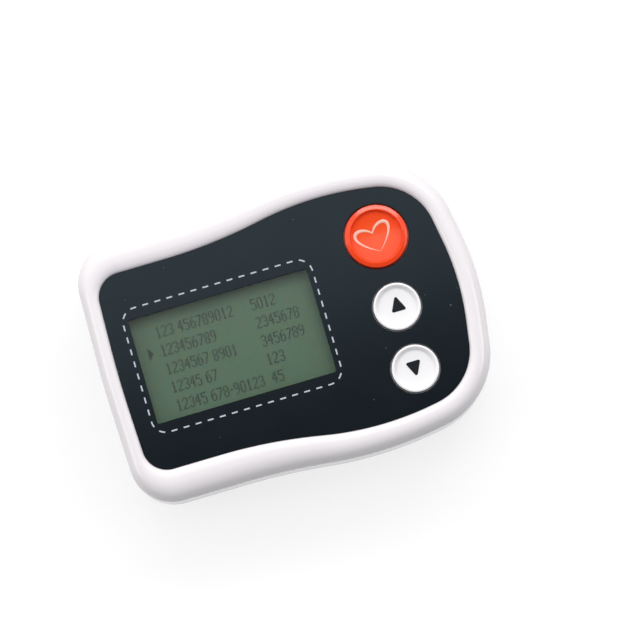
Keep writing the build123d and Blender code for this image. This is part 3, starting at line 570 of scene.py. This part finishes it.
pieces = {
    "frontShell": (frontShell(), "case", "white_case", ["front_shell"]),
    "rearShell": (rearShell(), "case", "white_case", ["rear_shell"]),
    "batteryCover": (batteryCover(), "cover", "white_case", ["battery_cover"]),
    "frontPanel": (frontPanel(), "case", "black_panel", ["front_panel"]),
    "eventCap": (buttonCap("eventCap", "event"), "event_key", "event_red", ["event_button"]),
    "upCap": (buttonCap("upCap", "up"), "up_key", "button_white", ["up_button"]),
    "downCap": (buttonCap("downCap", "down"), "down_key", "button_white", ["down_button"]),
    "heartMark": (heartMark(), "event_key", "heart_pale", ["event_heart"]),
    "upArrow": (arrowMark("upArrow", "up", 1), "up_key", "arrow_black", ["up_arrow"]),
    "downArrow": (arrowMark("downArrow", "down", -1), "down_key", "arrow_black", ["down_arrow"]),
    "eventDome": (switchDome("eventDome", "event"), "case", "spring_steel", ["event_dome"]),
    "upDome": (switchDome("upDome", "up"), "case", "spring_steel", ["up_dome"]),
    "downDome": (switchDome("downDome", "down"), "case", "spring_steel", ["down_dome"]),
    "borderDashes": (borderDashes(), "case", "white_case", []),
    "displayFigures": (displayFigures(), "case", "display_glass", []),
}
for label, (thing, body, slot, stands) in pieces.items():
    even = thing.modifiers.new("evenShading", "WEIGHTED_NORMAL")
    even.keep_sharp = True
    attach(thing, body)
    if stands:
        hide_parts(*stands)
    print("made", label, len(thing.data.polygons), "faces")
for label, joint in (("event", "event_press"), ("up", "up_press"), ("down", "down_press")):
    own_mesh(pieces[label + "Dome"][0])


# A shared shader group with named inputs and outputs
def shaderGroup(name, inputs, outputs):
    group = bpy.data.node_groups.new(name, "ShaderNodeTree")
    for label, kind, value in inputs:
        entry = group.interface.new_socket(name=label, in_out="INPUT", socket_type="NodeSocket" + kind)
        if value is not None:
            entry.default_value = value
    for label, kind in outputs:
        group.interface.new_socket(name=label, in_out="OUTPUT", socket_type="NodeSocket" + kind)
    return group, group.nodes.new("NodeGroupInput"), group.nodes.new("NodeGroupOutput")


# A link between two sockets, in whichever tree they are
def wire(source, target):
    target.id_data.links.new(source, target)


def noiseNode(tree, vector, scale, detail=3.0, roughness=0.5):
    noise = tree.nodes.new("ShaderNodeTexNoise")
    noise.inputs["Scale"].default_value = scale
    noise.inputs["Detail"].default_value = detail
    noise.inputs["Roughness"].default_value = roughness
    wire(vector, noise.inputs["Vector"])
    return noise.outputs["Fac"]


def mathNode(tree, operation, first, second=0.0, third=0.0, clamp=False):
    node = tree.nodes.new("ShaderNodeMath")
    node.operation = operation
    node.use_clamp = clamp
    for socketIn, value in zip(node.inputs, (first, second, third)):
        if isinstance(value, (int, float)):
            socketIn.default_value = value
        else:
            wire(value, socketIn)
    return node.outputs[0]


# A value times an amount, plus a middle value
def swing(tree, value, amount, middle):
    return mathNode(tree, "MULTIPLY_ADD", value, amount, middle)


# Roughness from a noise with its scale, detail and roughness
def polishBy(tree, shader, place, noise, reach):
    wire(swing(tree, noiseNode(tree, place, *noise), *reach), shader.inputs["Roughness"])


# The colour scaled by a brightness value
def scaledColor(tree, color, amount):
    node = tree.nodes.new("ShaderNodeVectorMath")
    node.operation = "SCALE"
    wire(color, node.inputs[0])
    wire(amount, node.inputs["Scale"])
    return node.outputs[0]


def mixColor(tree, share, first, second):
    node = tree.nodes.new("ShaderNodeMix")
    node.data_type = "RGBA"
    wire(share, node.inputs["Factor"])
    for socketIn, value in ((node.inputs[6], first), (node.inputs[7], second)):
        if isinstance(value, tuple):
            socketIn.default_value = (*value, 1.0)
        else:
            wire(value, socketIn)
    return node.outputs[2]


# Moulded plastic: broad mottling of the colour, uneven polish and a fine grain, each a noise with its
# scale, detail and roughness
mouldNoise = {"broad": (55.0, 2.0), "polish": (420.0, 4.0, 0.6), "grain": (3200.0, 2.0)}


def mouldGroup():
    group, given, result = shaderGroup(
        "mouldedPlastic",
        [("Vector", "Vector", None), ("Color", "Color", None), ("Mottle", "Float", 0.04),
         ("Roughness", "Float", 0.3), ("Spread", "Float", 0.1)],
        [("Color", "Color"), ("Roughness", "Float"), ("Height", "Float")])
    vector = given.outputs["Vector"]
    broad = mathNode(group, "SUBTRACT", noiseNode(group, vector, *mouldNoise["broad"]), 0.5)
    polish = mathNode(group, "SUBTRACT", noiseNode(group, vector, *mouldNoise["polish"]), 0.5)
    shade = swing(group, broad, given.outputs["Mottle"], 1.0)
    wire(scaledColor(group, given.outputs["Color"], shade), result.inputs["Color"])
    rough = swing(group, polish, given.outputs["Spread"], given.outputs["Roughness"])
    wire(rough, result.inputs["Roughness"])
    wire(noiseNode(group, vector, *mouldNoise["grain"]), result.inputs["Height"])
    return group


# Dust: small round specks, one in some of the cells of a scattered lattice
def dustGroup():
    group, given, result = shaderGroup(
        "fineDust",
        [("Vector", "Vector", None), ("Scale", "Float", 300.0), ("Size", "Float", 0.06),
         ("Amount", "Float", 0.1)],
        [("Mask", "Float")])
    cells = group.nodes.new("ShaderNodeTexVoronoi")
    wire(given.outputs["Vector"], cells.inputs["Vector"])
    wire(given.outputs["Scale"], cells.inputs["Scale"])
    near = mathNode(group, "LESS_THAN", cells.outputs["Distance"], given.outputs["Size"])
    parts = group.nodes.new("ShaderNodeSeparateColor")
    wire(cells.outputs["Color"], parts.inputs[0])
    chosen = mathNode(group, "LESS_THAN", parts.outputs[0], given.outputs["Amount"])
    wire(mathNode(group, "MULTIPLY", near, chosen), result.inputs["Mask"])
    return group


mould, dust = mouldGroup(), dustGroup()


# A material with object coordinates and a Principled shader whose plain sockets are set by name
def newMaterial(name, **plain):
    material = bpy.data.materials.new(name)
    material.use_nodes = True
    tree = material.node_tree
    shader = tree.nodes["Principled BSDF"]
    for label, value in plain.items():
        shader.inputs[label].default_value = value
    place = tree.nodes.new("ShaderNodeTexCoord").outputs["Object"]
    return material, tree, shader, place


def groupNode(tree, group, place, **values):
    node = tree.nodes.new("ShaderNodeGroup")
    node.node_tree = group
    wire(place, node.inputs["Vector"])
    for label, value in values.items():
        node.inputs[label].default_value = value
    return node


def bumpFrom(tree, shader, height, strength, distance):
    bump = tree.nodes.new("ShaderNodeBump")
    bump.inputs["Strength"].default_value = strength
    bump.inputs["Distance"].default_value = distance
    wire(height, bump.inputs["Height"])
    wire(bump.outputs["Normal"], shader.inputs["Normal"])


# Plain moulded plastics: colour, roughness, its spread, mottling, grain depth in millimetres, then what is
# set on the shader
grainStrength = 0.5
plastics = {
    "whiteGloss": ((0.895, 0.862, 0.878), 0.2, 0.06, 0.03, 0.004,
                   {"Coat Weight": 0.35, "Coat Roughness": 0.05}),
    "buttonWhite": ((0.94, 0.935, 0.94), 0.16, 0.05, 0.02, 0.002,
                    {"Coat Weight": 0.4, "Coat Roughness": 0.04}),
    "printWhite": ((0.52, 0.58, 0.65), 0.4, 0.1, 0.1, 0.002, {}),
    "heartPale": ((0.98, 0.55, 0.43), 0.25, 0.1, 0.05, 0.003, {"Coat Weight": 0.5, "Coat Roughness": 0.05}),
    "arrowBlack": ((0.010, 0.014, 0.018), 0.4, 0.1, 0.2, 0.002, {"Specular IOR Level": 0.15}),
    "socketGrey": ((0.20, 0.20, 0.205), 0.42, 0.15, 0.15, 0.01, {}),
    "blackPlastic": ((0.02, 0.02, 0.022), 0.5, 0.15, 0.2, 0.02, {}),
    "trayGrey": ((0.55, 0.55, 0.57), 0.45, 0.12, 0.08, 0.015, {}),
    # The gasket's black is partly the foam's own colour and partly painted shade for the dark edges of the
    # display recess
    "gasketFoamAndShade": ((0.012, 0.012, 0.013), 0.85, 0.1, 0.4, 0.04, {}),
    "stripRubber": ((0.30, 0.24, 0.26), 0.7, 0.1, 0.3, 0.02, {}),
    "diffuser": ((0.72, 0.75, 0.72), 0.35, 0.1, 0.04, 0.005, {"Subsurface Weight": 0.2}),
    "chipBlack": ((0.018, 0.018, 0.019), 0.55, 0.15, 0.25, 0.015, {}),
    "capacitorTan": ((0.36, 0.22, 0.11), 0.5, 0.15, 0.3, 0.01, {}),
}


def plasticMaterial(name, color, roughness, spread, mottle, grain, sockets):
    material, tree, shader, place = newMaterial(name, **sockets)
    node = groupNode(tree, mould, place,
                     Color=(*color, 1.0), Mottle=mottle, Roughness=roughness, Spread=spread)
    wire(node.outputs["Color"], shader.inputs["Base Color"])
    wire(node.outputs["Roughness"], shader.inputs["Roughness"])
    bumpFrom(tree, shader, node.outputs["Height"], grainStrength, grain * mm)
    return material


finish = {label: plasticMaterial(label, *values) for label, values in plastics.items()}


# Metals: colour, roughness, scale of the brushing along each axis. The brushing is a noise that moves the
# tone by an amount from a least value, and the roughness by an amount about its own
brushed = {"noise": (1.0, 4.0, 0.6), "tone": (0.3, 0.85), "polish": 0.2}
metals = {
    "springSteel": ((0.62, 0.62, 0.63), 0.25, (900, 900, 120)),
    "screwSteel": ((0.48, 0.48, 0.50), 0.3, (500, 500, 500)),
    "pinGold": ((0.78, 0.55, 0.22), 0.22, (150, 900, 900)),
    "crystalCan": ((0.60, 0.60, 0.60), 0.28, (700, 150, 700)),
}


def metalMaterial(name, color, roughness, brushing):
    material, tree, shader, place = newMaterial(name, Metallic=1.0)
    stretch = tree.nodes.new("ShaderNodeMapping")
    stretch.inputs["Scale"].default_value = brushing
    wire(place, stretch.inputs["Vector"])
    grain = noiseNode(tree, stretch.outputs[0], *brushed["noise"])
    base = tree.nodes.new("ShaderNodeRGB")
    base.outputs[0].default_value = (*color, 1.0)
    tone = swing(tree, grain, *brushed["tone"])
    wire(scaledColor(tree, base.outputs[0], tone), shader.inputs["Base Color"])
    wire(swing(tree, grain, brushed["polish"], roughness - brushed["polish"] / 2), shader.inputs["Roughness"])
    return material


finish.update({label: metalMaterial(label, *values) for label, values in metals.items()})


# Black glossy sheet with a few specks of dust and faint wiping marks in its polish
panelLook = {
    "color": (0.0022, 0.0032, 0.0042), "dustColor": (0.2, 0.22, 0.24), "dustShare": 0.4,
    "coarse": {"Scale": 260.0, "Size": 0.05, "Amount": 0.10},
    "fine": {"Scale": 700.0, "Size": 0.09, "Amount": 0.05},
    "gloss": {"Specular Tint": (0.62, 0.85, 1.0, 1.0), "Specular IOR Level": 0.5},
    "wiped": (90.0, 5.0, 0.65), "polish": (0.06, 0.07),
}


def panelMaterial():
    look = panelLook
    material, tree, shader, place = newMaterial("panelBlack", **look["gloss"])
    specks = [groupNode(tree, dust, place, **look[grade]).outputs["Mask"] for grade in ("coarse", "fine")]
    faint = mathNode(tree, "MULTIPLY", mathNode(tree, "MAXIMUM", *specks), look["dustShare"])
    wire(mixColor(tree, faint, look["color"], look["dustColor"]), shader.inputs["Base Color"])
    polishBy(tree, shader, place, look["wiped"], look["polish"])
    return material


finish["panelBlack"] = panelMaterial()


# Red translucent cap: a colour ramp over the distance from the middle, as stops in shares of the radius,
# deeper in the rim and warmer and paler towards the middle of the dish, partly the plastic's own colour and
# partly a painted reflection in the dish
redLook = {
    "colorAndSheenStops": [(0.0, (0.99, 0.100, 0.022)), (0.5, (0.99, 0.085, 0.011)),
              (0.75, (0.99, 0.066, 0.004)), (0.96, (0.97, 0.058, 0.003))],
    "cloud": (700.0, 4.0, 0.6), "tone": (0.14, 0.93),
    "body": {"Coat Weight": 0.2, "Coat Roughness": 0.04, "Roughness": 0.14, "Subsurface Weight": 0.1,
             "Subsurface Radius": (0.004, 0.001, 0.0005), "Subsurface Scale": 0.5},
}


def redMaterial():
    material, tree, shader, place = newMaterial("eventRed", **redLook["body"])
    spot = tree.nodes.new("ShaderNodeMapping")
    spot.inputs["Location"].default_value = (-buttons["x"] * mm, -buttons["event"][0] * mm, 0.0)
    spot.inputs["Scale"].default_value = (1.0, 1.0, 0.0)
    wire(place, spot.inputs["Vector"])
    length = tree.nodes.new("ShaderNodeVectorMath")
    length.operation = "LENGTH"
    wire(spot.outputs[0], length.inputs[0])
    share = mathNode(tree, "DIVIDE", length.outputs["Value"], buttons["event"][1] * mm)
    # The paler, warmer middle of this ramp is partly the cap's colour and partly painted reflection
    ramp = tree.nodes.new("ShaderNodeValToRGB")
    wire(share, ramp.inputs["Fac"])
    while len(ramp.color_ramp.elements) < len(redLook["colorAndSheenStops"]):
        ramp.color_ramp.elements.new(0.5)
    for element, (at, color) in zip(ramp.color_ramp.elements, redLook["colorAndSheenStops"]):
        element.position = at
        element.color = (*color, 1.0)
    tone = swing(tree, noiseNode(tree, place, *redLook["cloud"]), *redLook["tone"])
    wire(scaledColor(tree, ramp.outputs["Color"], tone), shader.inputs["Base Color"])
    return material


finish["eventRed"] = redMaterial()


# Grey-green reflective display: soft clouding, a fine noise, blotches of a cooler green and a faint lattice;
# these three noises have their scale, detail and roughness, then how far each moves the tone or the mix and
# from what least value. Each glass has its colour, its cooler green and the depth of its lattice
glassLook = {
    "gloss": {"Roughness": 0.38, "Specular IOR Level": 0.35},
    "noises": [((45.0, 3.0, 0.55), (0.24, 0.86)), ((2600.0, 2.0, 0.6), (0.22, 0.89)),
               ((850.0, 3.0, 0.6), (3.0, -1.0))],
    "line": 0.8,
}
glassColors = {
    "displayGreen": ((0.087, 0.145, 0.077), (0.068, 0.147, 0.095), 0.05),
    "figureGreen": ((0.024, 0.043, 0.026), (0.021, 0.043, 0.029), 0.0),
}


def glassMaterial(name, color, cooler, depth):
    material, tree, shader, place = newMaterial(name, **glassLook["gloss"])
    parts = tree.nodes.new("ShaderNodeSeparateXYZ")
    wire(place, parts.inputs[0])
    lines = []
    for axis, spacing in (("X", figures["across"]), ("Y", figures["down"])):
        phase = mathNode(tree, "MULTIPLY", parts.outputs[axis], 2 * math.pi / (spacing * mm))
        lines.append(mathNode(tree, "GREATER_THAN", mathNode(tree, "SINE", phase), glassLook["line"]))
    tone, grain, blotch = (swing(tree, noiseNode(tree, place, *noise), *reach)
                           for noise, reach in glassLook["noises"])
    lattice = swing(tree, mathNode(tree, "MAXIMUM", *lines), -depth, 1.0)
    shade = mathNode(tree, "MULTIPLY", mathNode(tree, "MULTIPLY", tone, grain), lattice)
    wire(scaledColor(tree, mixColor(tree, blotch, color, cooler), shade), shader.inputs["Base Color"])
    return material


finish.update({label: glassMaterial(label, *values) for label, values in glassColors.items()})


# Clear window: only the gloss of its outer faces shows, more at a glancing angle
windowLook = {"smear": (120.0, 4.0, 0.6), "polish": (0.08, 0.06), "bending": 1.45,
              "gloss": {"Base Color": (1.0, 1.0, 1.0, 1.0), "Metallic": 1.0}}


def windowMaterial():
    material, tree, shader, place = newMaterial("clearWindow", **windowLook["gloss"])
    polishBy(tree, shader, place, windowLook["smear"], windowLook["polish"])
    edge = tree.nodes.new("ShaderNodeFresnel")
    edge.inputs["IOR"].default_value = windowLook["bending"]
    outer = mathNode(tree, "SUBTRACT", 1.0, tree.nodes.new("ShaderNodeNewGeometry").outputs["Backfacing"])
    wire(mathNode(tree, "MULTIPLY", edge.outputs[0], outer), shader.inputs["Alpha"])
    return material


finish["clearWindow"] = windowMaterial()


# Circuit board: solder mask with faint tracks as ridges of a brick pattern, whose depth is in millimetres
boardLook = {
    "roughness": 0.35, "strength": 0.3, "depth": 0.03,
    "tracks": {"Scale": 260.0, "Mortar Size": 0.03, "Color1": (0.010, 0.095, 0.035, 1.0),
               "Color2": (0.012, 0.120, 0.045, 1.0), "Mortar": (0.03, 0.19, 0.07, 1.0)},
}


def boardMaterial():
    material, tree, shader, place = newMaterial("boardGreen", Roughness=boardLook["roughness"])
    brick = tree.nodes.new("ShaderNodeTexBrick")
    for label, value in boardLook["tracks"].items():
        brick.inputs[label].default_value = value
    wire(place, brick.inputs["Vector"])
    wire(brick.outputs["Color"], shader.inputs["Base Color"])
    bumpFrom(tree, shader, brick.outputs["Fac"], boardLook["strength"], boardLook["depth"] * mm)
    return material


finish["boardGreen"] = boardMaterial()


# Cell: a plain dark sleeve with a pale band towards the plus end, bare metal at both ends; where these
# start along Y is in metres
cellLook = {"bareFrom": 0.0243, "bandFrom": 0.0125, "sleeve": (0.02, 0.045, 0.11), "band": (0.55, 0.35, 0.12),
            "bare": (0.62, 0.62, 0.62), "bandMetal": 0.6, "smear": (300.0, 3.0, 0.6), "polish": (0.12, 0.2)}


def cellMaterial():
    look = cellLook
    material, tree, shader, place = newMaterial("cellSleeve")
    parts = tree.nodes.new("ShaderNodeSeparateXYZ")
    wire(place, parts.inputs[0])
    along = parts.outputs["Y"]
    bare = mathNode(tree, "GREATER_THAN", mathNode(tree, "ABSOLUTE", along), look["bareFrom"])
    band = mathNode(tree, "GREATER_THAN", along, look["bandFrom"])
    sleeve = mixColor(tree, band, look["sleeve"], look["band"])
    wire(mixColor(tree, bare, sleeve, look["bare"]), shader.inputs["Base Color"])
    metal = mathNode(tree, "MAXIMUM", bare, mathNode(tree, "MULTIPLY", band, look["bandMetal"]))
    wire(metal, shader.inputs["Metallic"])
    polishBy(tree, shader, place, look["smear"], look["polish"])
    return material


finish["cellSleeve"] = cellMaterial()

# What wears each finish: new pieces, and CAD pieces that show as they are
worn = {
    "whiteGloss": "frontShell rearShell batteryCover", "panelBlack": "frontPanel",
    "printWhite": "borderDashes", "eventRed": "eventCap", "heartPale": "heartMark",
    "buttonWhite": "upCap downCap",
    "arrowBlack": "upArrow downArrow", "springSteel": "eventDome upDome downDome plus_contact minus_contact",
    "clearWindow": "display_window", "gasketFoamAndShade": "display_gasket", "displayGreen": "display_glass",
    "figureGreen": "displayFigures", "diffuser": "light_guide", "stripRubber": "contact_strips",
    "blackPlastic": "display_holder buzzer", "boardGreen": "main_board", "trayGrey": "battery_tray",
    "cellSleeve": "battery_cell", "socketGrey": "lead_socket", "pinGold": "socket_pins",
    "screwSteel": "case_screws tray_screws board_screws", "crystalCan": "clock_crystal",
    "chipBlack": "processor_chip signal_chip memory_chips power_inductor", "capacitorTan": "board_capacitors",
}
for style, labels in worn.items():
    for label in labels.split():
        thing = pieces[label][0] if label in pieces else nodes[label]
        if label in pieces:
            thing.data.materials.clear()
        if len(thing.material_slots) == 0:
            thing.data.materials.append(finish[style])
        for entry in thing.material_slots:
            entry.material = finish[style]
print("materials set:", len(finish))


# Camera: the photograph's right and down as directions on the bench, tilt off the vertical in degrees,
# the point in the middle of the picture, distance and the width seen at the panel's height
shot = {"right": (0.9593, -0.2823, 0.0), "down": (-0.2823, -0.9593, 0.0), "tilt": 5.0,
        "target": (6.61, -0.09, 23.1), "distance": 800.0, "span": 139.1, "sensor": 36.0, "clip": (0.01, 10.0)}
right, down = np.array(shot["right"]), np.array(shot["down"])
tilt = math.radians(shot["tilt"])
back = math.cos(tilt) * np.array([0, 0, 1.0]) + math.sin(tilt) * down
upward = np.cross(back, right)


# Stage: a pale floor just under the back that keeps the shadow and still reads as white to the camera, and
# a world that is dim below and bright above a soft edge along +Y
stage = {
    "size": 3000.0, "drop": 0.02, "lift": 0.75,
    "matt": {"Base Color": (0.3, 0.3, 0.3, 1.0), "Roughness": 0.9, "Specular IOR Level": 0.1,
             "Emission Color": (1.0, 1.0, 1.0, 1.0)},
    "low": (0.235, 0.24, 0.26), "high": (1.13, 1.11, 1.11), "edge": (0.072, 0.090),
}


def whiteGround():
    half, low = stage["size"] / 2, -stage["drop"]
    corners = [(-half, -half, low), (half, -half, low), (half, half, low), (-half, half, low)]
    floor = meshObject("floor", corners, [(0, 1, 2, 3)])
    material, tree, shader, _ = newMaterial("floorPale", **stage["matt"])
    rays = tree.nodes.new("ShaderNodeLightPath")
    seen = mathNode(tree, "ADD", rays.outputs["Is Camera Ray"], rays.outputs["Is Glossy Ray"])
    seen = mathNode(tree, "ADD", seen, rays.outputs["Is Transmission Ray"], clamp=True)
    wire(mathNode(tree, "MULTIPLY", seen, stage["lift"]), shader.inputs["Emission Strength"])
    side, clear = tree.nodes.new("ShaderNodeNewGeometry"), tree.nodes.new("ShaderNodeBsdfTransparent")
    hidden = mathNode(tree, "MULTIPLY", side.outputs["Backfacing"], rays.outputs["Is Camera Ray"])
    either = tree.nodes.new("ShaderNodeMixShader")
    wire(hidden, either.inputs[0])
    wire(shader.outputs[0], either.inputs[1])
    wire(clear.outputs[0], either.inputs[2])
    wire(either.outputs[0], tree.nodes["Material Output"].inputs["Surface"])
    floor.data.materials.append(material)


def whiteWorld():
    world = bpy.data.worlds.new("studio")
    bpy.context.scene.world = world
    world.use_nodes = True
    tree = world.node_tree
    tree.nodes.clear()
    rays = tree.nodes.new("ShaderNodeLightPath")
    soft, white = tree.nodes.new("ShaderNodeBackground"), tree.nodes.new("ShaderNodeBackground")
    aim = tree.nodes.new("ShaderNodeTexCoord")
    rise = tree.nodes.new("ShaderNodeVectorMath")
    rise.operation = "DOT_PRODUCT"
    rise.inputs[1].default_value = (0.0, 1.0, 0.0)
    wire(aim.outputs["Generated"], rise.inputs[0])
    fade = tree.nodes.new("ShaderNodeMapRange")
    fade.interpolation_type = "SMOOTHSTEP"
    for label, value in zip(("From Min", "From Max"), stage["edge"]):
        fade.inputs[label].default_value = value
    wire(rise.outputs["Value"], fade.inputs["Value"])
    wire(mixColor(tree, fade.outputs[0], stage["low"], stage["high"]), soft.inputs["Color"])
    white.inputs["Color"].default_value = (1.0, 1.0, 1.0, 1.0)
    mixed, end = tree.nodes.new("ShaderNodeMixShader"), tree.nodes.new("ShaderNodeOutputWorld")
    wire(rays.outputs["Is Camera Ray"], mixed.inputs[0])
    wire(soft.outputs[0], mixed.inputs[1])
    wire(white.outputs[0], mixed.inputs[2])
    wire(mixed.outputs[0], end.inputs[0])


whiteGround()
whiteWorld()


def addCamera():
    lens = bpy.data.cameras.new("photoView")
    lens.sensor_width = shot["sensor"]
    lens.lens = shot["sensor"] * shot["distance"] / shot["span"]
    lens.clip_start, lens.clip_end = shot["clip"]
    camera = bpy.data.objects.new("photoView", lens)
    place = (np.array(shot["target"]) + back * shot["distance"]) * mm
    columns = np.stack([right, upward, back, place], 1)
    camera.matrix_world = Matrix(columns.tolist() + [[0, 0, 0, 1]])
    bpy.context.scene.collection.objects.link(camera)
    bpy.context.scene.camera = camera


addCamera()


# Lamps: where they stand seen from the picture (right, up, height) in metres, width and depth, watts
lamps = {
    "keyTop": ((0.05, 0.8, 0.92), (1.1, 0.32), 4.7),
    "fillRight": ((0.9, 0.1, 0.7), (0.5, 0.5), 1.7),
    "fillLeft": ((-0.85, -0.25, 0.7), (0.5, 0.5), 1.8),
}


def addLamps():
    for label, ((across, along, height), (width, depth), watts) in lamps.items():
        light = bpy.data.lights.new(label, "AREA")
        light.shape = "RECTANGLE"
        light.size, light.size_y = width, depth
        light.energy = watts
        lamp = bpy.data.objects.new(label, light)
        spot = right * across - down * along + np.array([0, 0, height])
        lamp.location = spot.tolist()
        lamp.rotation_euler = Vector(-spot).to_track_quat("-Z", "Y").to_euler()
        bpy.context.scene.collection.objects.link(lamp)


addLamps()
bpy.context.scene.view_settings.view_transform = "Standard"
print("stage, camera and lamps set")
